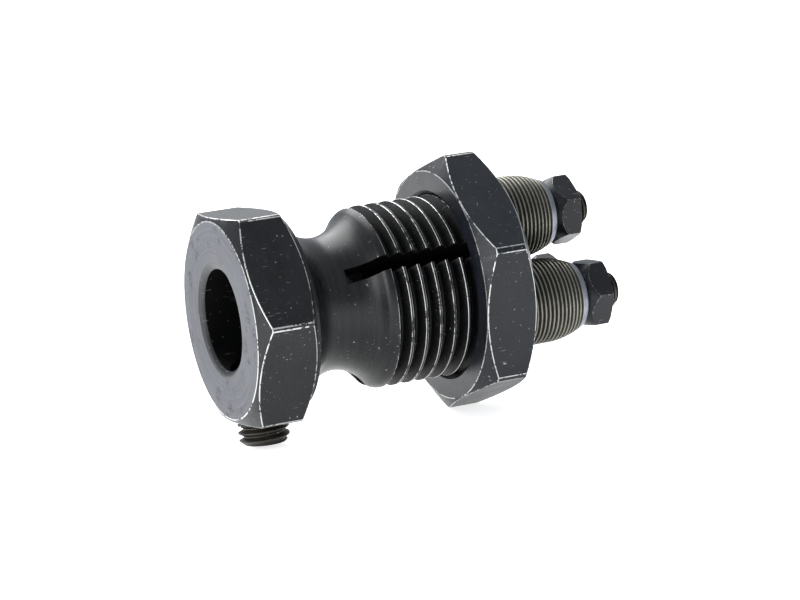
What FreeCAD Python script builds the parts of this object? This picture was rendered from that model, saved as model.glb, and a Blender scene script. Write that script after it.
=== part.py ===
"""Three-roll thread rolling head: a slotted steel body, an adjusting nut and three grooved rolls.

The tool's axis is X. The origin is the centre of the hexagonal head's front face, +X runs
towards the rolls and +Z is up, so the set screw in the head points down. Millimetres.
Angles about the axis count from -Y (0) up to +Z (90).
"""
import FreeCAD, Part
import math
import os
import Sketcher
from FreeCAD import Placement, Rotation, Vector

SIZES = {
    # hexagonal head and its shank bore
    "head_flats": 20.0, "head_length": 6.1, "head_corner_radius": 11.45,
    "head_face_radius": 9.65, "head_chamfer": 0.95,
    "bore_radius": 5.0, "bore_depth": 13.5, "bore_mouth_radius": 5.7, "bore_mouth_depth": 0.4,
    "bore_bottom_slope": 1.0,
    # turned neck: a round hollow between head and thread, and a rounded shoulder
    "neck_centre": 10.5, "neck_radius": 6.55, "neck_hollow": 4.2, "shoulder_round": 1.4,
    # threaded part, split into three jaws
    "thread_radius": 9.0, "thread_pitch": 1.5, "thread_depth": 0.92, "thread_start": 15.3,
    "body_length": 28.0, "body_end_chamfer": 0.6, "passage_radius": 1.75,
    "slot_width": 1.5, "slot_start": 11.1, "slot_turn": 2.0,
    # adjusting nut
    "nut_flats": 23.0, "nut_corner_radius": 13.12, "nut_face_radius": 11.4,
    "nut_front": 23.0, "nut_thickness": 5.3, "nut_chamfer": 1.1, "nut_turn": 18.4,
    "nut_bore_radius": 9.06, "nut_countersink": 0.4,
    # grooved rolls, crowned towards the side where the work enters
    "roll_circle": 5.46, "roll_radius": 4.2, "roll_front": 28.78, "roll_length": 6.7,
    "roll_chamfer": 0.25, "crown_start": 3.0, "crown_round": 7.7, "roll_land": 0.5,
    "roll_end_radius": 3.3, "roll_bore_radius": 2.28, "groove_pitch": 0.4536,
    "groove_depth": 0.27, "groove_slope": 0.6,
    # pins: pressed seat, collar, journal and threaded stud
    "seat_radius": 2.0, "seat_length": 8.0, "collar_radius": 3.0, "collar_width": 0.75,
    "journal_radius": 2.25, "journal_length": 6.76, "stud_radius": 1.75, "stud_length": 4.35,
    "stud_chamfer": 0.3,
    # small nuts on the pins
    "small_nut_flats": 6.2, "small_nut_corner_radius": 3.56, "small_nut_face_radius": 2.6,
    "small_nut_length": 2.85, "small_nut_chamfer": 1.3, "small_nut_edge": 0.15,
    "small_nut_bore_radius": 1.76,
    # set screw through the underside of the head
    "screw_place": 3.2, "screw_radius": 2.5, "screw_pitch": 0.8, "screw_thread_depth": 0.49,
    "screw_length": 6.0, "screw_reach": 12.45, "screw_hole_radius": 2.55, "screw_chamfer": 0.3,
    "socket_flats": 2.5, "socket_depth": 2.6,
    # where each roll stands about the axis, and how its small nut is turned
    "roll_angle_a": 92.4, "roll_angle_b": -27.6, "roll_angle_c": 212.4,
    "small_nut_turn_a": 21.0, "small_nut_turn_b": 0.5, "small_nut_turn_c": 41.0,
}
GROOVES = 13

doc = FreeCAD.newDocument("ThreadRollingHead")
sheet = doc.addObject("Spreadsheet::Sheet", "sizes")
for row, (alias, value) in enumerate(SIZES.items(), start=1):
    sheet.set("A%d" % row, alias)
    sheet.set("B%d" % row, str(value))
    sheet.setAlias("B%d" % row, alias)
doc.recompute()
subparts = []


def bind(expression):
    """Point an expression's aliases, written as separate words, at the sheet."""
    words = str(expression).split()
    return " ".join("sizes." + word if word in SIZES else word for word in words)


def measure(expression):
    return float(sheet.evalExpression(bind(expression)))


def start_body(label):
    body = doc.addObject("PartDesign::Body", label)
    body.Label = label
    subparts.append(body)
    return body


def origin_part(body, role):
    return next(part for part in body.Origin.OriginFeatures if part.Role == role)


def start_sketch(body, name, plane):
    sketch = body.newObject("Sketcher::SketchObject", body.Name + "_" + name)
    sketch.AttachmentSupport = (origin_part(body, plane), "")
    sketch.MapMode = "FlatFace"
    return sketch


def hold(sketch, kind, first, expression):
    """Bind one coordinate of a point, or one radius, to the sheet."""
    value = measure(expression)
    if kind == "Radius":
        constraint = Sketcher.Constraint(kind, first, value)
    elif abs(value) < 1e-9:
        axis = -2 if kind == "DistanceX" else -1
        sketch.addConstraint(Sketcher.Constraint("PointOnObject", first[0], first[1], axis))
        return
    else:
        constraint = Sketcher.Constraint(kind, -1, 1, first[0], first[1], value)
    number = sketch.addConstraint(constraint)
    sketch.setExpression("Constraints[%d]" % number, bind(expression))


def outline(sketch, points):
    """A closed outline of straight lines through points given as pairs of expressions."""
    spots = [Vector(measure(x), measure(y), 0) for x, y in points]
    base = sketch.GeometryCount
    count = len(points)
    for index, spot in enumerate(spots):
        sketch.addGeometry(Part.LineSegment(spot, spots[(index + 1) % count]))
    for index, (x, y) in enumerate(points):
        following = base + (index + 1) % count
        sketch.addConstraint(
            Sketcher.Constraint("Coincident", base + index, 2, following, 1))
        hold(sketch, "DistanceX", (base + index, 1), x)
        hold(sketch, "DistanceY", (base + index, 1), y)


def turned(body, name, kind, draw):
    """Turn a shape about X: a PartDesign Revolution adds it, a Groove cuts it away."""
    sketch = start_sketch(body, name + "_profile", "XZ_Plane")
    draw(sketch)
    feature = body.newObject("PartDesign::" + kind, body.Name + "_" + name)
    feature.Profile = sketch
    feature.ReferenceAxis = (origin_part(body, "X_Axis"), [""])
    feature.Angle = 360.0
    doc.recompute()
    return feature


def turn_outline(body, name, kind, points):
    return turned(body, name, kind, lambda sketch: outline(sketch, points))


def hexagon(sketch, flats):
    """A hexagon about the axis with two corners on the sketch's X axis."""
    half = "( " + flats + " ) / 2"
    corner = "( " + flats + " ) / sqrt( 3 )"
    outline(sketch, [
        (corner, 0), (corner + " / 2", half), ("- " + corner + " / 2", half),
        ("- " + corner, 0), ("- " + corner + " / 2", "- " + half), (corner + " / 2", "- " + half)])


def cut_flats(body, flats, outside, length):
    """Mill the six flats: cut away all between a hexagon and a larger circle."""
    sketch = start_sketch(body, "flats_profile", "YZ_Plane")
    hexagon(sketch, flats)
    circle = sketch.addGeometry(Part.Circle(Vector(0, 0, 0), Vector(0, 0, 1), measure(outside)))
    sketch.addConstraint(Sketcher.Constraint("Coincident", circle, 3, -1, 1))
    hold(sketch, "Radius", circle, outside)
    pocket(body, "flats", sketch, length)


def pocket(body, name, sketch, length, both_sides=False):
    """Cut a sketch's area away, along +X from a cross-section or evenly to both sides."""
    feature = body.newObject("PartDesign::Pocket", body.Name + "_" + name)
    feature.Profile = sketch
    feature.Reversed = not both_sides
    feature.Midplane = both_sides
    feature.setExpression("Length", bind(length))
    doc.recompute()
    return feature


def repeat_about_axis(body, name, feature):
    """Repeat a cut three times about the tool's axis."""
    pattern = body.newObject("PartDesign::PolarPattern", body.Name + "_" + name)
    pattern.Originals = [feature]
    pattern.Axis = (origin_part(body, "X_Axis"), [""])
    pattern.Angle = 360.0
    pattern.Occurrences = 3
    body.Tip = pattern
    doc.recompute()


def cut_thread(body, radius, depth, pitch, start, length):
    """Cut a 60 degree thread by sweeping its groove along a helix about X.

    The groove's floor is an eighth of the pitch wide. Its flanks rise to just outside the crest.
    """
    sketch = start_sketch(body, "thread_profile", "XZ_Plane")
    rise = "( %s * 1.16 ) * tan( 30 )" % depth
    floor = "%s / 16" % pitch
    root = "%s - %s" % (radius, depth)
    above = "%s + %s * 0.16" % (radius, depth)
    outline(sketch, [
        ("%s - %s" % (start, floor), root), ("%s + %s" % (start, floor), root),
        ("%s + %s + %s" % (start, floor, rise), above),
        ("%s - %s - %s" % (start, floor, rise), above)])
    helix = body.newObject("PartDesign::SubtractiveHelix", body.Name + "_thread")
    helix.Profile = sketch
    helix.ReferenceAxis = (origin_part(body, "X_Axis"), [""])
    helix.Mode = 0
    helix.setExpression("Pitch", bind(pitch))
    helix.setExpression("Height", bind(length))
    doc.recompute()


def place(body, x, turn=None, circle=None, angle=None):
    """Move a sub-part along the axis, out to its roll's circle, and turn it about X."""
    body.Placement = Placement(Vector(0, 0, 0), Rotation(Vector(-1, 0, 0), 1.0))
    body.setExpression("Placement.Base.x", bind(x))
    body.setExpression("Placement.Rotation.Angle", bind(turn or "0"))
    if circle:
        body.setExpression("Placement.Base.y", bind("- %s * cos( %s )" % (circle, angle)))
        body.setExpression("Placement.Base.z", bind("%s * sin( %s )" % (circle, angle)))


def add_arc(sketch, middle, first, last):
    """A counter-clockwise arc about one place from a point to another."""
    circle = Part.Circle(middle, Vector(0, 0, 1), middle.distanceToPoint(first))
    begin = math.atan2(first.y - middle.y, first.x - middle.x)
    end = math.atan2(last.y - middle.y, last.x - middle.x)
    return sketch.addGeometry(Part.ArcOfCircle(circle, begin, end))


def draw_neck(sketch):
    """What the neck takes off: a round hollow that runs smoothly into a rounded shoulder."""
    depth = "neck_radius + neck_hollow"
    reach = "( neck_hollow + shoulder_round )"
    rise = "( neck_radius + neck_hollow - thread_radius + shoulder_round )"
    run = "sqrt( %s ^ 2 - %s ^ 2 )" % (reach, rise)
    end = "neck_centre + " + run
    meeting = ("neck_centre + %s * neck_hollow / %s" % (run, reach),
               "%s - %s * neck_hollow / %s" % (depth, rise, reach))
    corners = [(end, "thread_radius"), (end, "thread_radius + 2"),
               ("neck_centre - neck_hollow", "thread_radius + 2"),
               ("neck_centre - neck_hollow", depth)]
    spots = [Vector(measure(x), measure(y), 0) for x, y in corners]
    touch = Vector(measure(meeting[0]), measure(meeting[1]), 0)
    hollow_middle = Vector(measure("neck_centre"), measure(depth), 0)
    round_middle = Vector(measure(end), measure("thread_radius - shoulder_round"), 0)
    for index in range(3):
        sketch.addGeometry(Part.LineSegment(spots[index], spots[index + 1]))
    hollow = add_arc(sketch, hollow_middle, spots[3], touch)
    shoulder = add_arc(sketch, round_middle, spots[0], touch)
    for first, last in (((0, 2), (1, 1)), ((1, 2), (2, 1)), ((2, 2), (hollow, 1)),
                        ((hollow, 2), (shoulder, 2)), ((shoulder, 1), (0, 1))):
        sketch.addConstraint(Sketcher.Constraint("Coincident", *first, *last))
    for index in range(3):
        hold(sketch, "DistanceX", (index, 1), corners[index][0])
        hold(sketch, "DistanceY", (index, 1), corners[index][1])
    hold(sketch, "DistanceY", (2, 2), depth)
    hold(sketch, "DistanceX", (hollow, 3), "neck_centre")
    hold(sketch, "DistanceY", (hollow, 3), depth)
    hold(sketch, "Radius", hollow, "neck_hollow")
    hold(sketch, "DistanceX", (shoulder, 3), end)
    hold(sketch, "DistanceX", (shoulder, 2), meeting[0])


def make_tool_body():
    body = start_body("tool_body")
    turn_outline(body, "blank", "Revolution", [
        (0, 0), (0, "head_face_radius"), ("head_chamfer", "head_corner_radius"),
        ("head_length - head_chamfer", "head_corner_radius"),
        ("head_length", "head_face_radius"), ("neck_centre", "head_face_radius"),
        ("neck_centre", "thread_radius"), ("body_length - body_end_chamfer", "thread_radius"),
        ("body_length", "thread_radius - body_end_chamfer"), ("body_length", 0)])
    cut_flats(body, "head_flats", "head_corner_radius + 2", "head_length + 0.05")

    turned(body, "neck", "Groove", draw_neck)
    turn_outline(body, "bore", "Groove", [
        (0, 0), (0, "bore_mouth_radius"), ("bore_mouth_depth", "bore_radius"),
        ("bore_depth", "bore_radius"), ("bore_depth + bore_bottom_slope", "passage_radius"),
        ("body_length + 1", "passage_radius"), ("body_length + 1", 0)])

    slot = start_sketch(body, "slot_profile", "XZ_Plane")
    slot.AttachmentOffset = Placement(Vector(0, 0, 0), Rotation(Vector(1, 0, 0), 1.0))
    slot.setExpression(".AttachmentOffset.Rotation.Angle", bind("slot_turn"))
    inner = "- passage_radius / 2"
    outer = "- head_flats / 2 - 1"
    outline(slot, [("slot_start", inner), ("body_length + 1", inner),
                   ("body_length + 1", outer), ("slot_start", outer)])
    repeat_about_axis(body, "slots", pocket(body, "slot", slot, "slot_width", both_sides=True))

    seat = start_sketch(body, "seat_profile", "YZ_Plane")
    seat.setExpression(".AttachmentOffset.Base.z", bind("body_length - seat_length"))
    aside = "- roll_circle * cos( roll_angle_a )"
    up = "roll_circle * sin( roll_angle_a )"
    circle = seat.addGeometry(Part.Circle(
        Vector(measure(aside), measure(up), 0), Vector(0, 0, 1), measure("seat_radius")))
    hold(seat, "DistanceX", (circle, 3), aside)
    hold(seat, "DistanceY", (circle, 3), up)
    hold(seat, "Radius", circle, "seat_radius")
    repeat_about_axis(body, "seats", pocket(body, "seat", seat, "seat_length + 1"))

    hole = start_sketch(body, "screw_hole_profile", "XY_Plane")
    circle = hole.addGeometry(Part.Circle(
        Vector(measure("screw_place"), 0, 0), Vector(0, 0, 1), measure("screw_hole_radius")))
    hold(hole, "DistanceX", (circle, 3), "screw_place")
    hold(hole, "DistanceY", (circle, 3), 0)
    hold(hole, "Radius", circle, "screw_hole_radius")
    drilled = pocket(body, "screw_hole", hole, "head_flats / 2 + 1")
    drilled.Reversed = False
    doc.recompute()
    cut_thread(body, "thread_radius", "thread_depth", "thread_pitch", "thread_start",
               "body_length - thread_start + thread_pitch")


def make_adjusting_nut():
    body = start_body("adjusting_nut")
    turn_outline(body, "ring", "Revolution", [
        (0, "nut_bore_radius + nut_countersink"), (0, "nut_face_radius"),
        ("nut_chamfer", "nut_corner_radius"), ("nut_thickness - nut_chamfer", "nut_corner_radius"),
        ("nut_thickness", "nut_face_radius"),
        ("nut_thickness", "nut_bore_radius + nut_countersink"),
        ("nut_thickness - nut_countersink", "nut_bore_radius"),
        ("nut_countersink", "nut_bore_radius")])
    cut_flats(body, "nut_flats", "nut_corner_radius + 1", "nut_thickness")
    place(body, "nut_front", turn="nut_turn")


def make_roll(letter):
    body = start_body("thread_roll_" + letter)

    def blank(sketch):
        land = "roll_length - roll_land"
        outline(sketch, [
            (0, "roll_bore_radius"), (0, "roll_radius - roll_chamfer"),
            ("roll_chamfer", "roll_radius"), (land, "roll_radius"),
            ("roll_length", "roll_radius"), ("roll_length", "roll_bore_radius")])

    def lead_in(sketch):
        """What the crown takes off: all outside an arc and outside the plain end land."""
        land = "( roll_length - roll_land )"
        drop = ("roll_radius - crown_round + sqrt( crown_round ^ 2 - "
                "( %s - crown_start ) ^ 2 )" % land)
        start = Vector(measure("crown_start"), measure("roll_radius"), 0)
        middle = Vector(start.x, measure("roll_radius - crown_round"), 0)
        corners = [(land, drop), ("roll_length", "roll_end_radius"),
                   ("roll_length", "roll_radius + 1"), ("crown_start", "roll_radius + 1")]
        spots = [Vector(measure(x), measure(y), 0) for x, y in corners]
        points = spots + [start]
        for index, spot in enumerate(points[:-1]):
            sketch.addGeometry(Part.LineSegment(spot, points[index + 1]))
            hold(sketch, "DistanceX", (index, 1), corners[index][0])
            hold(sketch, "DistanceY", (index, 1), corners[index][1])
        for index in range(3):
            sketch.addConstraint(Sketcher.Constraint("Coincident", index, 2, index + 1, 1))
        arc = add_arc(sketch, middle, spots[0], start)
        sketch.addConstraint(Sketcher.Constraint("Coincident", arc, 1, 0, 1))
        sketch.addConstraint(Sketcher.Constraint("Coincident", arc, 2, 3, 2))
        hold(sketch, "DistanceX", (arc, 3), "crown_start")
        hold(sketch, "DistanceX", (arc, 2), "crown_start")
        hold(sketch, "DistanceY", (arc, 2), "roll_radius")

    def grooves(sketch):
        """One triangle for each groove; the grooves follow the crown."""
        for number in range(GROOVES):
            x = "roll_chamfer + groove_pitch * %.1f" % (number + 0.5)
            past = "max( 0 ; %s - crown_start )" % x
            root = ("roll_radius - crown_round + sqrt( crown_round ^ 2 - ( %s ) ^ 2 )"
                    " - groove_depth" % past)
            half = "( roll_radius + 0.05 - ( %s ) ) * groove_slope" % root
            outline(sketch, [(x, root), ("%s + %s" % (x, half), "roll_radius + 0.05"),
                             ("%s - %s" % (x, half), "roll_radius + 0.05")])

    turned(body, "blank", "Revolution", blank)
    turned(body, "crown", "Groove", lead_in)
    turned(body, "grooves", "Groove", grooves)
    place(body, "roll_front", circle="roll_circle", angle="roll_angle_" + letter)


def make_roll_pin(letter):
    body = start_body("roll_pin_" + letter)
    collar = "seat_length + collar_width"
    stud = collar + " + journal_length"
    end = stud + " + stud_length"
    turn_outline(body, "blank", "Revolution", [
        (0, 0), (0, "seat_radius"), ("seat_length", "seat_radius"),
        ("seat_length", "collar_radius"), (collar, "collar_radius"),
        (collar, "journal_radius"), (stud, "journal_radius"), (stud, "stud_radius"),
        (end + " - stud_chamfer", "stud_radius"), (end, "stud_radius - stud_chamfer"), (end, 0)])
    place(body, "body_length - seat_length", circle="roll_circle",
          angle="roll_angle_" + letter)


def make_roll_nut(letter):
    body = start_body("roll_nut_" + letter)
    turn_outline(body, "ring", "Revolution", [
        (0, "small_nut_bore_radius"), (0, "small_nut_face_radius"),
        ("small_nut_chamfer", "small_nut_corner_radius"),
        ("small_nut_length - small_nut_edge", "small_nut_corner_radius"),
        ("small_nut_length", "small_nut_corner_radius - small_nut_edge * 2"),
        ("small_nut_length", "small_nut_bore_radius")])
    cut_flats(body, "small_nut_flats", "small_nut_corner_radius + 1", "small_nut_length")
    place(body, "body_length + collar_width + journal_length",
          turn="small_nut_turn_" + letter, circle="roll_circle", angle="roll_angle_" + letter)


def make_set_screw():
    """Its own X axis runs from the socket end, outside the head, inwards."""
    body = start_body("set_screw")
    turn_outline(body, "blank", "Revolution", [
        (0, 0), (0, "screw_radius - screw_chamfer"), ("screw_chamfer", "screw_radius"),
        ("screw_length - screw_chamfer", "screw_radius"),
        ("screw_length", "screw_radius - screw_chamfer"), ("screw_length", 0)])
    cut_thread(body, "screw_radius", "screw_thread_depth", "screw_pitch",
               "- screw_pitch", "screw_length + 2 * screw_pitch")
    socket = start_sketch(body, "socket_profile", "YZ_Plane")
    hexagon(socket, "socket_flats")
    pocket(body, "socket", socket, "socket_depth")
    body.Placement = Placement(Vector(0, 0, 0), Rotation(Vector(0, -1, 0), 90))
    body.setExpression("Placement.Base.x", "sizes.screw_place")
    body.setExpression("Placement.Base.z", "-sizes.screw_reach")


make_tool_body()
make_adjusting_nut()
for roll in "abc":
    make_roll(roll)
    make_roll_pin(roll)
    make_roll_nut(roll)
make_set_screw()
doc.recompute()

for item in doc.Objects:
    if "Invalid" in item.State or "Error" in item.State:
        raise RuntimeError("%s failed: %s" % (item.Name, item.State))
for body in subparts:
    if body.Shape.isNull() or not body.Shape.isValid() or len(body.Shape.Solids) != 1:
        raise RuntimeError("%s isn't one valid solid" % body.Label)
    print("%-16s %9.2f mm3 %3d faces" % (body.Label, body.Shape.Volume, len(body.Shape.Faces)))
os.makedirs("parts", exist_ok=True)
for body in subparts:
    body.Shape.exportStep("parts/%s.step" % body.Label)
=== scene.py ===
# %% [markdown]
# # A three-roll thread rolling head
# The tool is black-oxide steel: a hexagonal head that clamps on a spindle, a turned neck, a
# coarse-threaded part split into three jaws, a large adjusting nut, and three bare steel rolls
# on pins, each kept by a small nut. The CAD model is loaded first and never moved: every new
# piece is made around it, in metres, in the same frame.

# %% Load the frame
import math

import bmesh
import bpy
from mathutils import Matrix, Vector


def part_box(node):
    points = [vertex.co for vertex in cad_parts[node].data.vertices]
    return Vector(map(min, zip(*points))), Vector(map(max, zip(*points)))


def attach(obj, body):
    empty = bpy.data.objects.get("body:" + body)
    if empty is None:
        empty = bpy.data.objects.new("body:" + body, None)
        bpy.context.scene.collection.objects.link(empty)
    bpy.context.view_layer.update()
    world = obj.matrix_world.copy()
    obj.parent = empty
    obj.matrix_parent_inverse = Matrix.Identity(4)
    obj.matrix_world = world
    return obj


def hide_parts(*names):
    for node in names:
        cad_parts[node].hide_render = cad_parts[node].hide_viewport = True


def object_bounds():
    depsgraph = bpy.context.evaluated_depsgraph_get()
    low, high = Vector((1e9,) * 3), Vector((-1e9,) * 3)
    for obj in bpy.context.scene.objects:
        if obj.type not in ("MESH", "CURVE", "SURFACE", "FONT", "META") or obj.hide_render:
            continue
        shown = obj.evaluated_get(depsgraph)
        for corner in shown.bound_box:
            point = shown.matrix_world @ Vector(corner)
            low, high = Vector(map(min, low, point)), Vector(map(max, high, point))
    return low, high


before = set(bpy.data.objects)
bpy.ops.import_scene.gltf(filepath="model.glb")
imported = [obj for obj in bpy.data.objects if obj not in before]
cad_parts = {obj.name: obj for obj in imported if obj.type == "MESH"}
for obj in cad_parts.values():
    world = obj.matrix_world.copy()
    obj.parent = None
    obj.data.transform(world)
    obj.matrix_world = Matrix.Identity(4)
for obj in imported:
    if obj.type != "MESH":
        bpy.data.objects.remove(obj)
cad_low, cad_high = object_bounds()
MM = 0.001
print("CAD box in mm:", [round(v / MM, 2) for v in (*cad_low, *cad_high)])

# %% [markdown]
# ## Camera
# A long lens from the head's side, a little above the axis. The place is given the way a
# photographer would say it: how far round, how high, how far off, and how much the camera
# leans. Turning a camera by a plain Track To constraint can't lean it, so its rotation is
# built from the viewing direction and one extra turn.

# %% Camera
AIM = Vector((19.05, 0.26, -0.93)) * MM
AROUND, ABOVE, LEAN = math.radians(-23.23), math.radians(8.14), math.radians(6.05)
AWAY, LENS = 295.6 * MM, 134.9

bpy.ops.object.select_all(action="DESELECT")
back = Vector((math.sin(AROUND) * math.cos(ABOVE), -math.cos(AROUND) * math.cos(ABOVE),
               math.sin(ABOVE)))
facing = (-back).to_track_quat("-Z", "Y").to_matrix() @ Matrix.Rotation(-LEAN, 3, "Z")
bpy.ops.object.camera_add(location=AIM + back * AWAY, rotation=facing.to_euler())
camera = bpy.context.object
camera.data.lens = LENS
camera.data.clip_start, camera.data.clip_end = 0.01, 5.0
bpy.context.scene.camera = camera
print("camera at", [round(v / MM, 1) for v in camera.location])

# %% [markdown]
# ## Floor and light
# The head rests on its set screw and on a corner of the big nut, on a seamless pale floor.
# Black oxide is nearly a mirror for its surroundings, so the light is a studio tent: a soft
# even world, a wide light above and behind that picks out the top edges, and a weaker one
# from the head's side that lifts the head's face. The floor glows a little, so it burns out
# to white without a light of its own. The Standard view transform keeps white paper white,
# where a film-like one would turn it grey.

# %% Floor and lights
floor_height = cad_low.z - 0.02 * MM
bpy.ops.mesh.primitive_plane_add(size=6.0, location=(0, 0, floor_height))
floor = bpy.context.object
floor.name = "floor"
paper = bpy.data.materials.new("pale_paper")
paper.use_nodes = True
shader = paper.node_tree.nodes["Principled BSDF"]
shader.inputs["Base Color"].default_value = (0.93, 0.93, 0.93, 1)
shader.inputs["Roughness"].default_value = 0.9
shader.inputs["Emission Color"].default_value = (1, 1, 1, 1)
shader.inputs["Emission Strength"].default_value = 0.75
floor.data.materials.append(paper)

world = bpy.data.worlds.new("studio_tent")
bpy.context.scene.world = world
world.use_nodes = True
world.node_tree.nodes["Background"].inputs["Color"].default_value = (0.88, 0.94, 1, 1)
world.node_tree.nodes["Background"].inputs["Strength"].default_value = 0.62
bpy.context.scene.view_settings.view_transform = "Standard"


def soft_light(name, place, size, power):
    """A square area light that faces the middle of the tool."""
    bpy.ops.object.light_add(type="AREA", location=place)
    light = bpy.context.object
    light.name = name
    light.data.size = size
    light.data.energy = power
    light.rotation_euler = (AIM - Vector(place)).to_track_quat("-Z", "Y").to_euler()


soft_light("overhead", (0.0, 0.34, 0.42), 0.5, 3.6)
soft_light("head_side", (-0.45, -0.12, 0.1), 0.3, 1.6)
print("floor at", round(floor_height / MM, 2), "mm")

# %% [markdown]
# ## Shaping tools
# Nearly every part of this tool was made on a lathe, so it is modelled the same way: one
# vertex is extruded along the outline, and the outline is spun about X. Two more shop
# operations do the rest: a cutter is taken away with a Boolean, and a thread is cut by a
# profile that the Screw modifier winds along the axis.


# %% Work on one piece at a time
def keep_only(piece):
    bpy.ops.object.select_all(action="DESELECT")
    piece.select_set(True)
    bpy.context.view_layer.objects.active = piece


def draw_outline(name, outline):
    """Extrude one vertex through points (x, radius) in mm, in the XZ plane.
    Edit mode stays on."""
    bpy.ops.object.select_all(action="DESELECT")
    bpy.ops.mesh.primitive_plane_add(size=MM)
    piece = bpy.context.object
    piece.name = name
    bpy.ops.object.mode_set(mode="EDIT")
    bpy.ops.mesh.select_mode(type="VERT")
    bpy.ops.mesh.select_all(action="SELECT")
    bpy.ops.mesh.merge(type="CENTER")
    bpy.ops.transform.translate(value=(outline[0][0] * MM, 0, outline[0][1] * MM))
    for (x, r), (next_x, next_r) in zip(outline, outline[1:]):
        step = ((next_x - x) * MM, 0, (next_r - r) * MM)
        bpy.ops.mesh.extrude_region_move(TRANSFORM_OT_translate={"value": step})
    bpy.ops.mesh.select_all(action="SELECT")
    bpy.ops.mesh.remove_doubles(threshold=0.001 * MM)
    return piece


def turn_on_lathe(name, outline, steps):
    """Spin an outline about X into a closed solid. The outline ends where it starts, or both
    of its ends lie on the axis."""
    piece = draw_outline(name, outline)
    bpy.ops.mesh.spin(steps=steps, angle=math.tau, center=(0, 0, 0), axis=(1, 0, 0))
    bpy.ops.mesh.select_all(action="SELECT")
    bpy.ops.mesh.remove_doubles(threshold=0.001 * MM)
    bpy.ops.mesh.normals_make_consistent(inside=False)
    bpy.ops.object.mode_set(mode="OBJECT")
    return piece


def arc(middle_x, middle_r, radius, first, last, steps):
    """Points along an arc of an outline, by angles in degrees."""
    angles = [math.radians(first + (last - first) * step / steps) for step in range(steps + 1)]
    return [(middle_x + radius * math.cos(a), middle_r + radius * math.sin(a)) for a in angles]


# %% Cutters
def cut(piece, cutter, operation="DIFFERENCE"):
    keep_only(piece)
    modifier = piece.modifiers.new("cut", "BOOLEAN")
    modifier.operation, modifier.solver, modifier.object = operation, "EXACT", cutter
    bpy.ops.object.modifier_apply(modifier=modifier.name)
    bpy.data.objects.remove(cutter)


def hexagonal_bar(flats, low, high, turn=0.0):
    """A bar along X with corners at -Y and +Y, turned about -X by an angle in degrees."""
    bpy.ops.object.select_all(action="DESELECT")
    bpy.ops.mesh.primitive_cylinder_add(
        vertices=6, radius=flats / math.sqrt(3) * MM, depth=(high - low) * MM,
        location=((low + high) / 2 * MM, 0, 0), rotation=(0, math.pi / 2, 0))
    bar = bpy.context.object
    bpy.ops.object.transform_apply()
    bar.rotation_euler.x = -math.radians(turn)
    bpy.ops.object.transform_apply()
    return bar


def round_bar(radius, low, high, y=0.0, z=0.0):
    bpy.ops.object.select_all(action="DESELECT")
    bpy.ops.mesh.primitive_cylinder_add(
        vertices=64, radius=radius * MM, depth=(high - low) * MM,
        location=((low + high) / 2 * MM, y * MM, z * MM), rotation=(0, math.pi / 2, 0))
    bpy.ops.object.transform_apply()
    return bpy.context.object


def thread_cutter(radius, depth, pitch, start, turns, steps=72):
    """A 60 degree groove wound along X. Its floor is an eighth of the pitch wide and its top
    stands a little outside the crest, so it cuts cleanly."""
    above = depth * 0.16
    rise = (depth + above) * math.tan(math.radians(30))
    floor_half = pitch / 16
    root, top = radius - depth, radius + above
    cutter = draw_outline("thread_cutter", [
        (start - floor_half, root), (start + floor_half, root),
        (start + floor_half + rise, top), (start - floor_half - rise, top),
        (start - floor_half, root)])
    bpy.ops.object.mode_set(mode="OBJECT")
    winding = cutter.modifiers.new("winding", "SCREW")
    winding.axis, winding.angle = "X", math.tau
    winding.screw_offset, winding.iterations = pitch * MM, turns
    winding.steps = winding.render_steps = steps
    bpy.ops.object.modifier_apply(modifier=winding.name)
    bpy.ops.object.mode_set(mode="EDIT")
    bpy.ops.mesh.select_all(action="SELECT")
    bpy.ops.mesh.fill_holes(sides=4)
    bpy.ops.mesh.normals_make_consistent(inside=False)
    bpy.ops.object.mode_set(mode="OBJECT")
    return cutter


# %% [markdown]
# ### Broken edges
# No machined edge is a perfect knife: each has a narrow band that the tumbling barrel or a
# file left. A Bevel modifier would treat valleys and ridges alike, but the oxide only wears
# off ridges. So the ridges are picked in code, beveled in edit mode, and their new faces are
# given a material slot of their own, which holds a worn finish on the blackened pieces.


# %% Bevel the ridges and finish the shading
def give_slots(piece, *materials):
    """Give a piece its material slots before its ridges are broken."""
    piece.data.materials.clear()
    for material in materials:
        piece.data.materials.append(material)


def break_ridges(piece, width, wanted=None, slot=1, sharper_than=25.0, clamp=True):
    """Bevel the convex edges sharper than an angle in degrees. `wanted` can pick among them,
    by an edge's middle in mm. Clamping keeps every bevel clear of its neighbours."""
    keep_only(piece)
    bpy.ops.object.mode_set(mode="EDIT")
    bpy.ops.mesh.select_mode(type="EDGE")
    bpy.ops.mesh.select_all(action="DESELECT")
    mesh = bmesh.from_edit_mesh(piece.data)
    count = 0
    for edge in mesh.edges:
        if not (edge.is_manifold and edge.is_convex):
            continue
        middle = (edge.verts[0].co + edge.verts[1].co) / 2 / MM
        if edge.calc_face_angle() > math.radians(sharper_than) and (not wanted or wanted(middle)):
            edge.select_set(True)
            count += 1
    bmesh.update_edit_mesh(piece.data)
    bpy.ops.mesh.bevel(offset=width * MM, segments=2, affect="EDGES", clamp_overlap=clamp,
                       material=slot)
    bpy.ops.object.mode_set(mode="OBJECT")
    print(piece.name, "edges broken:", count)


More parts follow.
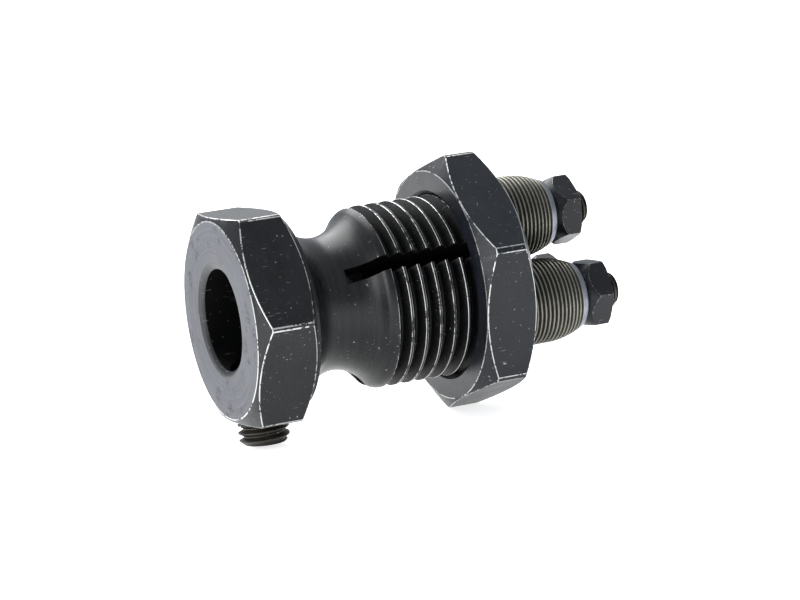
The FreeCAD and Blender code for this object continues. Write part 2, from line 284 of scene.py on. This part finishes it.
def finish_shape(piece):
    """Merge what lies together and smooth all but the true edges."""
    keep_only(piece)
    bpy.ops.object.mode_set(mode="EDIT")
    bpy.ops.mesh.select_all(action="SELECT")
    bpy.ops.mesh.remove_doubles(threshold=0.0005 * MM)
    bpy.ops.mesh.dissolve_degenerate(threshold=0.0005 * MM)
    bpy.ops.object.mode_set(mode="OBJECT")
    bpy.ops.object.shade_smooth_by_angle(angle=math.radians(38))
    evening = piece.modifiers.new("evening", "WEIGHTED_NORMAL")
    evening.keep_sharp = True
    bpy.ops.object.modifier_apply(modifier=evening.name)
    print(piece.name, "faces:", len(piece.data.polygons))


def copy_to(piece, name, y=0.0, z=0.0, turn=0.0):
    """A copy with its own mesh, turned about -X and moved across the axis, in mm."""
    keep_only(piece)
    bpy.ops.object.duplicate()
    copy = bpy.context.object
    copy.name = name
    copy.rotation_euler.x = -math.radians(turn)
    copy.location = (0, y * MM, z * MM)
    bpy.ops.object.transform_apply()
    return copy


# %% [markdown]
# ## Finishes
# The finishes share a few effects, so each effect is a node group: worn patches, speckles,
# scratches and turning marks. A group gives a mask or a value between 0 and 1, read from
# Object coordinates, and every material uses it with its own sizes, in millimetres.


# %% Node helpers
def feed(tree, socket, value):
    """Link a socket, or set it to a plain value."""
    if isinstance(value, bpy.types.NodeSocket):
        tree.links.new(value, socket)
    else:
        socket.default_value = value


def do_math(tree, operation, first, second=0.0, clamp=False):
    node = tree.nodes.new("ShaderNodeMath")
    node.operation, node.use_clamp = operation, clamp
    feed(tree, node.inputs[0], first)
    feed(tree, node.inputs[1], second)
    return node.outputs[0]


def remap(tree, value, from_low, from_high, to_low=0.0, to_high=1.0):
    node = tree.nodes.new("ShaderNodeMapRange")
    for number, entry in enumerate((value, from_low, from_high, to_low, to_high)):
        feed(tree, node.inputs[number], entry)
    return node.outputs[0]


def noise(tree, vector, scale, detail=2.0, roughness=0.5):
    node = tree.nodes.new("ShaderNodeTexNoise")
    feed(tree, node.inputs["Vector"], vector)
    feed(tree, node.inputs["Scale"], scale)
    feed(tree, node.inputs["Detail"], detail)
    feed(tree, node.inputs["Roughness"], roughness)
    return node.outputs["Fac"]


def object_place(tree):
    return tree.nodes.new("ShaderNodeTexCoord").outputs["Object"]


def stretch(tree, vector, scale, turn=(0, 0, 0)):
    node = tree.nodes.new("ShaderNodeMapping")
    feed(tree, node.inputs["Vector"], vector)
    node.inputs["Scale"].default_value = scale
    node.inputs["Rotation"].default_value = [math.radians(angle) for angle in turn]
    return node.outputs["Vector"]


def mix_colours(tree, factor, first, second):
    node = tree.nodes.new("ShaderNodeMix")
    node.data_type = "RGBA"
    feed(tree, node.inputs["Factor"], factor)
    feed(tree, node.inputs[6], first)
    feed(tree, node.inputs[7], second)
    return node.outputs[2]


def start_group(name, inputs, output):
    """A shader group with float inputs, given as name: default, and one float output."""
    tree = bpy.data.node_groups.new(name, "ShaderNodeTree")
    for label, value in inputs.items():
        tree.interface.new_socket(label, in_out="INPUT", socket_type="NodeSocketFloat")
        tree.interface.items_tree[label].default_value = value
    tree.interface.new_socket(output, in_out="OUTPUT", socket_type="NodeSocketFloat")
    return tree, tree.nodes.new("NodeGroupInput").outputs, tree.nodes.new("NodeGroupOutput").inputs


def use_group(tree, group, **values):
    node = tree.nodes.new("ShaderNodeGroup")
    node.node_tree = group
    for label, value in values.items():
        feed(tree, node.inputs[label], value)
    return node.outputs[0]


# %% Worn patches: noise cut off at a level, so they are islands with crisp rims
patches, given, result = start_group("worn_patches", {"Size": 0.3, "Amount": 0.3, "Rim": 0.03},
                                     "Mask")
scale = do_math(patches, "DIVIDE", 1 / MM, given["Size"])
level = do_math(patches, "SUBTRACT", 0.74, do_math(patches, "MULTIPLY", given["Amount"], 0.48))
cloud = noise(patches, object_place(patches), scale, 4.0, 0.6)
feed(patches, result[0], remap(patches, cloud, do_math(patches, "SUBTRACT", level, given["Rim"]),
                               do_math(patches, "ADD", level, given["Rim"])))

# %% Speckles: the middles of a few of the cells of a Voronoi pattern
speckles, given, result = start_group("speckles", {"Size": 0.5, "Share": 0.1, "Dot": 0.12}, "Mask")
cells = speckles.nodes.new("ShaderNodeTexVoronoi")
feed(speckles, cells.inputs["Vector"], object_place(speckles))
feed(speckles, cells.inputs["Scale"], do_math(speckles, "DIVIDE", 1 / MM, given["Size"]))
pick = speckles.nodes.new("ShaderNodeSeparateColor")
feed(speckles, pick.inputs[0], cells.outputs["Color"])
chosen = do_math(speckles, "LESS_THAN", pick.outputs[0], given["Share"])
dot = remap(speckles, cells.outputs["Distance"],
            do_math(speckles, "MULTIPLY", given["Dot"], pick.outputs[1]), 0.0)
feed(speckles, result[0], do_math(speckles, "MULTIPLY", chosen, dot))

# %% Scratches: noise drawn out along one direction and kept only where it peaks
scratches, given, result = start_group("scratches", {"Size": 0.12, "Amount": 0.2}, "Mask")
scale = do_math(scratches, "DIVIDE", 1 / MM, given["Size"])
level = do_math(scratches, "SUBTRACT", 0.78, do_math(scratches, "MULTIPLY", given["Amount"], 0.3))
strokes = []
for turn in ((20, 35, 10), (-35, -20, 55)):
    drawn = stretch(scratches, object_place(scratches), (0.04, 1.0, 1.0), turn)
    stroke = noise(scratches, drawn, scale, 1.0)
    strokes.append(remap(scratches, stroke, level, do_math(scratches, "ADD", level, 0.03)))
both = do_math(scratches, "MAXIMUM", *strokes)
where = noise(scratches, object_place(scratches), 0.35 / MM, 1.0)
here = remap(scratches, where, 0.55, 0.62)
feed(scratches, result[0], do_math(scratches, "MULTIPLY", both, here))

# %% Turning marks: bands around X, by place along the axis and distance from it
marks, given, result = start_group("turning_marks", {"Size": 0.15}, "Value")
split = marks.nodes.new("ShaderNodeSeparateXYZ")
feed(marks, split.inputs[0], object_place(marks))
square = do_math(marks, "ADD", do_math(marks, "POWER", split.outputs[1], 2.0),
                 do_math(marks, "POWER", split.outputs[2], 2.0))
join = marks.nodes.new("ShaderNodeCombineXYZ")
feed(marks, join.inputs[0], split.outputs[0])
feed(marks, join.inputs[1], do_math(marks, "SQRT", square))
feed(marks, join.inputs[2], do_math(marks, "MULTIPLY", split.outputs[1], 0.02))
feed(marks, result[0], noise(marks, join.outputs[0],
                             do_math(marks, "DIVIDE", 1 / MM, given["Size"]), 3.0, 0.65))
print("effects:", [tree.name for tree in (patches, speckles, scratches, marks)])

# %% [markdown]
# ### Black oxide
# Blackening leaves a thin magnetite skin, a little blue, with a satin sheen from the oil.
# It shows the machining below it, varies slowly in depth, and comes off in specks and
# scratches that show bright steel. One recipe makes every blackened finish: a lot of wear
# for the ridges, little for the faces.

# %% Black oxide recipe
STEEL = (0.55, 0.55, 0.54, 1)


def start_material(name):
    material = bpy.data.materials.new(name)
    material.use_nodes = True
    return material, material.node_tree, material.node_tree.nodes["Principled BSDF"]


def black_oxide(name, deep, thin, wear, wear_size=0.35, gloss=0.4, turned=0.0, pits=0.0):
    """`deep` and `thin` are the oxide's colours where it is thick and where it is thin."""
    material, tree, shader = start_material(name)
    shader.inputs["Specular IOR Level"].default_value = 0.34
    depth = use_group(tree, patches, Size=2.6, Amount=0.5, Rim=0.16)
    grain = use_group(tree, patches, Size=0.16, Amount=0.5, Rim=0.2)
    rings = use_group(tree, marks, Size=0.22)
    shade = do_math(tree, "ADD", do_math(tree, "MULTIPLY", depth, 0.35),
                    do_math(tree, "MULTIPLY", grain, 0.45))
    ring_share = do_math(tree, "MULTIPLY", do_math(tree, "SUBTRACT", rings, 0.5), 1.6 * turned)
    skin = mix_colours(tree, do_math(tree, "ADD", shade, ring_share, clamp=True), deep, thin)

    stretches = use_group(tree, patches, Size=3.2, Amount=0.5, Rim=0.12)
    amount = do_math(tree, "ADD", wear * 0.55, do_math(tree, "MULTIPLY", stretches, wear * 0.8))
    worn = use_group(tree, patches, Size=wear_size, Amount=amount, Rim=0.05)
    specks = do_math(tree, "MULTIPLY",
                     use_group(tree, speckles, Size=0.4, Share=0.06, Dot=0.14), 0.5)
    scored = do_math(tree, "MULTIPLY", use_group(tree, scratches, Size=0.08, Amount=0.1), 0.5)
    bare = do_math(tree, "MAXIMUM", worn, do_math(tree, "MAXIMUM", specks, scored))
    colour = mix_colours(tree, bare, skin, STEEL)
    height = do_math(tree, "MULTIPLY", grain, 0.35)
    height = do_math(tree, "ADD", height, do_math(tree, "MULTIPLY", rings, turned))
    height = do_math(tree, "SUBTRACT", height, do_math(tree, "MULTIPLY", bare, 0.5))
    if pits:
        holes = use_group(tree, speckles, Size=1.5, Share=pits, Dot=0.75)
        rags = use_group(tree, patches, Size=0.35, Amount=0.5, Rim=0.04)
        ragged = do_math(tree, "MULTIPLY", do_math(tree, "MULTIPLY", holes, 2.5, clamp=True), rags)
        colour = mix_colours(tree, do_math(tree, "MULTIPLY", ragged, 0.8), colour,
                             (0.008, 0.008, 0.012, 1))
        height = do_math(tree, "SUBTRACT", height, do_math(tree, "MULTIPLY", ragged, 3.0))
    bump = tree.nodes.new("ShaderNodeBump")
    bump.inputs["Strength"].default_value = 0.35
    bump.inputs["Distance"].default_value = 0.012 * MM
    feed(tree, bump.inputs["Height"], height)
    feed(tree, shader.inputs["Base Color"], colour)
    feed(tree, shader.inputs["Metallic"], bare)
    rough = do_math(tree, "ADD", gloss, do_math(tree, "MULTIPLY", shade, 0.16))
    feed(tree, shader.inputs["Roughness"], do_math(tree, "SUBTRACT", rough,
                                                   do_math(tree, "MULTIPLY", bare, 0.1)))
    feed(tree, shader.inputs["Normal"], bump.outputs[0])
    return material


oxide_body = black_oxide("black_oxide_body", (0.001, 0.0011, 0.0015, 1),
                         (0.011, 0.012, 0.015, 1), wear=0.05, gloss=0.26, turned=0.5)
oxide_neck = black_oxide("turned_oxide", (0.0008, 0.0009, 0.0012, 1),
                         (0.010, 0.0105, 0.012, 1), wear=0.04, gloss=0.27, turned=1.3)
oxide_nut = black_oxide("black_oxide_nut", (0.0015, 0.0025, 0.005, 1), (0.011, 0.014, 0.020, 1),
                        wear=0.05, gloss=0.30)
oxide_small = black_oxide("black_oxide_small", (0.001, 0.0015, 0.003, 1),
                          (0.009, 0.010, 0.015, 1), wear=0.04, gloss=0.28)
oxide_ridge = black_oxide("worn_ridge", (0.012, 0.012, 0.014, 1), (0.05, 0.05, 0.055, 1),
                          wear=0.74, wear_size=0.4, gloss=0.42)
oxide_crest = black_oxide("worn_crest", (0.008, 0.008, 0.009, 1), (0.04, 0.04, 0.042, 1),
                          wear=0.74, wear_size=0.6, gloss=0.4)
# Near-black with weak reflections: painted shade for the thread's valleys and flanks, the bore and
# the slot walls.
valley_painted_shade = black_oxide("valley_painted_shade", (0.0004, 0.0004, 0.0005, 1), (0.002, 0.002, 0.0025, 1),
                          wear=0.0, gloss=0.42)
valley_painted_shade.node_tree.nodes["Principled BSDF"].inputs["Specular IOR Level"].default_value = 0.18
small_ridge = black_oxide("small_ridge", (0.004, 0.004, 0.006, 1), (0.03, 0.03, 0.036, 1),
                          wear=0.5, wear_size=0.4, gloss=0.34)
# Much lighter than the body's oxide: thin oxide, plus painted sheen where the face catches the
# side light.
head_face_thin_oxide_painted_sheen = black_oxide("head_face_thin_oxide_painted_sheen", (0.040, 0.042, 0.053, 1), (0.115, 0.118, 0.136, 1),
                        wear=0.05, gloss=0.42, turned=0.9, pits=0.6)
print("blackened finishes made")

# %% [markdown]
# ### Bare steels
# The rolls are hardened and ground but never blackened. They have gone a warm grey with oil
# and use; the grooves' valleys are darker, and only the end land is a little brighter and bluer.
# The pins are plain alloy steel. The set screw is blackened by the recipe above, but browner
# than the body.


# %% Bare steel recipe
def bare_steel(name, clean, grimy, amount, roughness, metal=1.0):
    material, tree, shader = start_material(name)
    stain = use_group(tree, patches, Size=1.4, Amount=amount, Rim=0.2)
    rings = use_group(tree, marks, Size=0.1)
    fine = remap(tree, rings, 0.35, 0.65)
    dirt = do_math(tree, "ADD", do_math(tree, "MULTIPLY", stain, 0.6),
                   do_math(tree, "MULTIPLY", fine, 0.4), clamp=True)
    specks = use_group(tree, speckles, Size=0.5, Share=0.12, Dot=0.2)
    colour = mix_colours(tree, dirt, clean, grimy)
    colour = mix_colours(tree, do_math(tree, "MULTIPLY", specks, 0.7), colour,
                         (0.03, 0.03, 0.03, 1))
    bump = tree.nodes.new("ShaderNodeBump")
    bump.inputs["Strength"].default_value = 0.3
    bump.inputs["Distance"].default_value = 0.01 * MM
    feed(tree, bump.inputs["Height"], rings)
    feed(tree, shader.inputs["Base Color"], colour)
    shader.inputs["Metallic"].default_value = metal
    feed(tree, shader.inputs["Roughness"], do_math(tree, "ADD", roughness,
                                                   do_math(tree, "MULTIPLY", dirt, 0.2)))
    feed(tree, shader.inputs["Normal"], bump.outputs[0])
    return material


roll_grey = bare_steel("roll_steel", (0.16, 0.155, 0.13, 1), (0.08, 0.077, 0.066, 1), 0.5, 0.42)
roll_crest = bare_steel("roll_crest", (0.44, 0.43, 0.38, 1), (0.26, 0.25, 0.22, 1), 0.4, 0.34)
roll_valley = bare_steel("roll_valley", (0.05, 0.048, 0.042, 1), (0.02, 0.02, 0.018, 1), 0.6, 0.5)
roll_bright = bare_steel("roll_end_land", (0.26, 0.28, 0.32, 1), (0.16, 0.17, 0.20, 1), 0.4, 0.38)
pin_steel = bare_steel("pin_steel", (0.10, 0.097, 0.088, 1), (0.035, 0.034, 0.03, 1), 0.5, 0.36)
screw_oxide = black_oxide("screw_oxide", (0.008, 0.007, 0.005, 1), (0.034, 0.028, 0.021, 1),
                          wear=0.1, wear_size=0.5, gloss=0.34)
print("bare steels and the screw's finish made")

# %% [markdown]
# ## The slotted body
# One bar of steel makes the head, the neck and the jaws. The shop turns the blank, bores
# it, mills the six flats, cuts the coarse thread, and last saws three slots back into the
# neck, so that the jaws can spring when the big nut draws along them. The model takes the
# same steps in the same order.

# %% Turn the blank
HEAD_FLATS, BORE_RADIUS, PASSAGE_RADIUS, BODY_LENGTH = 20.0, 5.0, 1.75, 28.0
THREAD_RADIUS, THREAD_DEPTH, THREAD_PITCH, THREAD_TURNS = 9.0, 0.92, 1.5, 10
THREAD_START = 14.75  # on the far side, +Y, where the groove's blunt first end is out of sight
body_outline = (
    [(0, 5.7), (0, 9.65), (0.95, 11.45), (5.15, 11.45), (6.1, 9.65)]
    + arc(10.5, 10.75, 4.2, -164.8, -34.2, 26) + arc(15.13, 7.6, 1.4, 145.8, 90, 9)[1:]
    + [(BODY_LENGTH - 0.6, THREAD_RADIUS), (BODY_LENGTH, THREAD_RADIUS - 0.6),
       (BODY_LENGTH, PASSAGE_RADIUS), (14.5, PASSAGE_RADIUS), (13.5, BORE_RADIUS),
       (0.4, BORE_RADIUS), (0, 5.7)])
slotted_body = turn_on_lathe("slotted_body", body_outline, 144)
cut(slotted_body, hexagonal_bar(HEAD_FLATS, -1, BODY_LENGTH + 1), "INTERSECT")
threader = thread_cutter(THREAD_RADIUS, THREAD_DEPTH, THREAD_PITCH, THREAD_START, THREAD_TURNS,
                         96)
threader.rotation_euler.x = -math.pi / 2
bpy.ops.object.transform_apply()
cut(slotted_body, threader)
print("blank, flats and thread:", len(slotted_body.data.polygons), "faces")

# %% Saw the slots, ream the pin seats and drill for the set screw
SLOT_WIDTH, SLOT_START, SLOT_ANGLES = 1.5, 11.1, (268, 28, 148)
SAW_LENGTH, SAW_REACH, SAW_FLOOR = 18, 9.9, 0.875
PIN_SEAT_RADIUS, PIN_SEAT_START = 2.0, 20.0
SCREW_PLACE, SCREW_HOLE_RADIUS = 3.2, 2.55
for angle in SLOT_ANGLES:
    bpy.ops.object.select_all(action="DESELECT")
    bpy.ops.mesh.primitive_cube_add(size=1)
    saw = bpy.context.object
    bpy.ops.object.mode_set(mode="EDIT")
    bpy.ops.transform.resize(value=(SAW_LENGTH * MM, SAW_REACH * MM, SLOT_WIDTH * MM))
    bpy.ops.transform.translate(value=((SLOT_START + SAW_LENGTH / 2) * MM,
                                       -(SAW_FLOOR + SAW_REACH / 2) * MM, 0))
    bpy.ops.object.mode_set(mode="OBJECT")
    saw.rotation_euler.x = -math.radians(angle)
    bpy.ops.object.transform_apply()
    cut(slotted_body, saw)


def roll_centre(letter):
    """Where a roll's pin stands across the axis, in mm, from the CAD."""
    low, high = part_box("thread_roll_" + letter)
    return (low[1] + high[1]) / 2 / MM, (low[2] + high[2]) / 2 / MM


for letter in "abc":
    y, z = roll_centre(letter)
    cut(slotted_body, round_bar(PIN_SEAT_RADIUS, PIN_SEAT_START, BODY_LENGTH + 1, y, z))
bpy.ops.object.select_all(action="DESELECT")
bpy.ops.mesh.primitive_cylinder_add(vertices=64, radius=SCREW_HOLE_RADIUS * MM, depth=11 * MM,
                                    location=(SCREW_PLACE * MM, 0, -5.5 * MM))
cut(slotted_body, bpy.context.object)


# %% Break its edges: wide on the head, narrow on the thread's crests, plain along the slots
def on_head(middle):
    return middle.x < 6.3 and math.hypot(middle.y, middle.z) > 8.0


def beside_slot(middle):
    """True for a point on one of the slots' two walls."""
    for angle in SLOT_ANGLES:
        a = math.radians(angle)
        across = middle.y * math.sin(a) + middle.z * math.cos(a)
        out = -middle.y * math.cos(a) + middle.z * math.sin(a)
        if abs(abs(across) - SLOT_WIDTH / 2) < 0.02 and out > 0:
            return True
    return False


def flat_to_slot(normal):
    """True for a normal that points straight across one of the slots."""
    crosses = [(math.sin(math.radians(a)), math.cos(math.radians(a))) for a in SLOT_ANGLES]
    return any(abs(normal.y * y + normal.z * z) > 0.95 for y, z in crosses)


def on_crest(middle):
    return middle.x > 14.0 and math.hypot(middle.y, middle.z) > 8.8 and not beside_slot(middle)


RIDGE, CREST, FACE, VALLEY, NECK = 1, 2, 3, 4, 5
give_slots(slotted_body, oxide_body, oxide_ridge, oxide_crest, head_face_thin_oxide_painted_sheen, valley_painted_shade,
           oxide_neck)
break_ridges(slotted_body, 0.075, on_head, RIDGE)
break_ridges(slotted_body, 0.036, on_crest, CREST, clamp=False)
for face in slotted_body.data.polygons:
    if face.material_index:
        continue
    middle, out = face.center / MM, math.hypot(face.center.y, face.center.z) / MM
    # The head's front face gets the lighter finish: thin oxide and painted sheen.
    if middle.x < 0.02 and face.normal.x < -0.99:
        face.material_index = FACE
    # Thread valleys and flanks, the bore and the slot walls get the near-black finish: painted
    # shade in these recesses.
    elif (middle.x > 15.2 and out < THREAD_RADIUS - 0.03) or (1.0 < middle.x and out < 6.3) or (
            beside_slot(middle) and out < THREAD_RADIUS - 0.1 and flat_to_slot(face.normal)):
        face.material_index = VALLEY
    elif 6.2 < middle.x < 15.2:
        face.material_index = NECK
finish_shape(slotted_body)
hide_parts("tool_body")
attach(slotted_body, "body")

# %% [markdown]
# ## The adjusting nut
# A wide hexagon, turned with a chamfer on both faces, so that each flat ends in an arc.
# The real nut's own thread runs on the jaws' thread. Here the bore is plain and clears the
# crests, so that the nut can slide along them without cutting into them.

# %% Adjusting nut
NUT_FRONT, NUT_FLATS, NUT_TURN = 23.0, 23.0, 18.4
adjusting_nut = turn_on_lathe("big_nut", [
    (NUT_FRONT + x, r) for x, r in (
        (0, 9.46), (0, 11.4), (1.1, 13.12), (4.2, 13.12), (5.3, 11.4), (5.3, 9.46), (4.9, 9.06),
        (0.4, 9.06), (0, 9.46))], 144)
cut(adjusting_nut, hexagonal_bar(NUT_FLATS, NUT_FRONT - 1, NUT_FRONT + 7, NUT_TURN), "INTERSECT")
give_slots(adjusting_nut, oxide_nut, oxide_ridge)
break_ridges(adjusting_nut, 0.065, lambda middle: math.hypot(middle.y, middle.z) > 10.5)
finish_shape(adjusting_nut)
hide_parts("adjusting_nut")
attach(adjusting_nut, "nut")

# %% [markdown]
# ## The thread rolls
# A roll has plain rings, not a helix: the work's lead comes from how the rolls are timed.
# Its outline is drawn with every groove, over a crown that lets the work in, and spun once.
# The grooves' ridges are rounded by a bevel, and ridge, flank and valley get their own
# finishes: lighter on the ridges, darker in the valleys.

# %% Draw and spin a roll
ROLL_FRONT, ROLL_RADIUS, ROLL_LENGTH, CROWN_START, CROWN_ROUND = 28.78, 4.2, 6.7, 3.0, 7.7
GROOVES, GROOVE_PITCH, GROOVE_DEPTH, GROOVE_HALF = 13, 0.4536, 0.27, 0.165
ROLL_BORE, ROLL_CHAMFER, END_LAND_START, VALLEY_HALF = 2.28, 0.25, 6.2, 0.03


def crown(x):
    """The roll's radius at a place along it: straight, then rounded off towards its end."""
    past = max(0.0, x - CROWN_START)
    return ROLL_RADIUS - CROWN_ROUND + math.sqrt(CROWN_ROUND ** 2 - past ** 2)


roll_outline = [(0, ROLL_BORE), (0, 3.95), (ROLL_CHAMFER, ROLL_RADIUS)]
for number in range(GROOVES):
    x = ROLL_CHAMFER + GROOVE_PITCH * (number + 0.5)
    valley = crown(x) - GROOVE_DEPTH
    roll_outline += [(x - GROOVE_HALF, crown(x - GROOVE_HALF)), (x - VALLEY_HALF, valley),
                     (x + VALLEY_HALF, valley), (x + GROOVE_HALF, crown(x + GROOVE_HALF))]
roll_outline += [(END_LAND_START, crown(END_LAND_START)), (ROLL_LENGTH, 3.3),
                 (ROLL_LENGTH, ROLL_BORE), (0, ROLL_BORE)]
roll = turn_on_lathe("roll_blank", [(ROLL_FRONT + x, r) for x, r in roll_outline], 112)
ROLL_CREST, ROLL_VALLEY, END_LAND = 1, 2, 3
give_slots(roll, roll_grey, roll_crest, roll_valley, roll_bright)
break_ridges(roll, 0.03, slot=ROLL_CREST)
for face in roll.data.polygons:
    x, out = face.center.x / MM - ROLL_FRONT, math.hypot(face.center.y, face.center.z) / MM
    if x > END_LAND_START - 0.05:
        face.material_index = END_LAND
    elif 3.0 < out < crown(x) - GROOVE_DEPTH * 0.8:
        face.material_index = ROLL_VALLEY
finish_shape(roll)

# %% Stand a roll on each pin
for letter, where in (("a", "upper"), ("b", "front"), ("c", "rear")):
    y, z = roll_centre(letter)
    standing = copy_to(roll, "thread_roll_" + where, y, z)
    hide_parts("thread_roll_" + letter)
    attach(standing, "roll_" + letter)
bpy.data.objects.remove(roll)

# %% [markdown]
# ## Pins and small nuts
# Each pin is pressed into the jaws up to its collar, carries its roll on a plain journal,
# and ends in a threaded stud. The nut on it is turned with a long cone towards the roll,
# so it clears the roll's end and its flats show as half-round panels.

# %% Pins
SMALL_NUT_FRONT, STUD_RADIUS, STUD_END, JOURNAL_RADIUS = 35.51, 1.75, 39.86, 2.25
COLLAR_RADIUS, COLLAR_END = 3.0, 28.75
pin = turn_on_lathe("pin_blank", [
    (PIN_SEAT_START, 0), (PIN_SEAT_START, PIN_SEAT_RADIUS - 0.2),
    (PIN_SEAT_START + 0.2, PIN_SEAT_RADIUS), (BODY_LENGTH, PIN_SEAT_RADIUS), (BODY_LENGTH, 2.9),
    (28.1, COLLAR_RADIUS), (28.65, COLLAR_RADIUS), (COLLAR_END, 2.9),
    (COLLAR_END, JOURNAL_RADIUS), (SMALL_NUT_FRONT, JOURNAL_RADIUS),
    (SMALL_NUT_FRONT, STUD_RADIUS), (39.56, STUD_RADIUS), (STUD_END, 1.45), (STUD_END, 0)], 64)
cut(pin, thread_cutter(STUD_RADIUS, 0.36, 0.6, 35.9, 8, 40))
give_slots(pin, pin_steel)
break_ridges(pin, 0.03, lambda middle: middle.x > BODY_LENGTH, slot=0)
finish_shape(pin)

# %% Small nuts
SMALL_NUT_FLATS = 6.2
small_nut = turn_on_lathe("small_nut_blank", [
    (SMALL_NUT_FRONT + x, r) for x, r in (
        (0, 1.76), (0, 2.6), (1.3, 3.56), (2.7, 3.56), (2.85, 3.26), (2.85, 1.96), (2.65, 1.76),
        (0, 1.76))], 96)
cut(small_nut, hexagonal_bar(SMALL_NUT_FLATS, SMALL_NUT_FRONT - 1, SMALL_NUT_FRONT + 4),
    "INTERSECT")
give_slots(small_nut, oxide_small, small_ridge)
break_ridges(small_nut, 0.05)
finish_shape(small_nut)

# %% Fit them
for letter, where, turn in (("a", "upper", 21.0), ("b", "front", 0.5), ("c", "rear", 41.0)):
    y, z = roll_centre(letter)
    fitted = copy_to(pin, "roll_pin_" + where, y, z)
    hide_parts("roll_pin_" + letter)
    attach(fitted, "body")
    fitted = copy_to(small_nut, "small_nut_" + where, y, z, turn)
    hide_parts("roll_nut_" + letter)
    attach(fitted, "body")
for blank in (pin, small_nut):
    bpy.data.objects.remove(blank)

# %% [markdown]
# ## The set screw
# A short screw with a hexagon socket, through the underside of the head. It is turned and
# threaded along X like everything else, then stood upright in its hole.

# %% Set screw
SCREW_REACH, SCREW_RADIUS, SCREW_LENGTH, SCREW_PITCH, SOCKET_FLATS = 12.45, 2.5, 6.0, 0.8, 2.5
set_screw = turn_on_lathe("clamp_screw", [
    (0, 0), (0, 2.05), (0.45, SCREW_RADIUS), (5.7, SCREW_RADIUS), (SCREW_LENGTH, 2.2),
    (SCREW_LENGTH, 0)], 72)
cut(set_screw, thread_cutter(SCREW_RADIUS, 0.49, SCREW_PITCH, -SCREW_PITCH, 10, 60))
cut(set_screw, hexagonal_bar(SOCKET_FLATS, -1.0, 2.6))
give_slots(set_screw, screw_oxide)
break_ridges(set_screw, 0.035, slot=0)
finish_shape(set_screw)
set_screw.rotation_euler.y = -math.pi / 2
set_screw.location = (SCREW_PLACE * MM, 0, -SCREW_REACH * MM)
bpy.ops.object.transform_apply()
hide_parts("set_screw")
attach(set_screw, "screw")
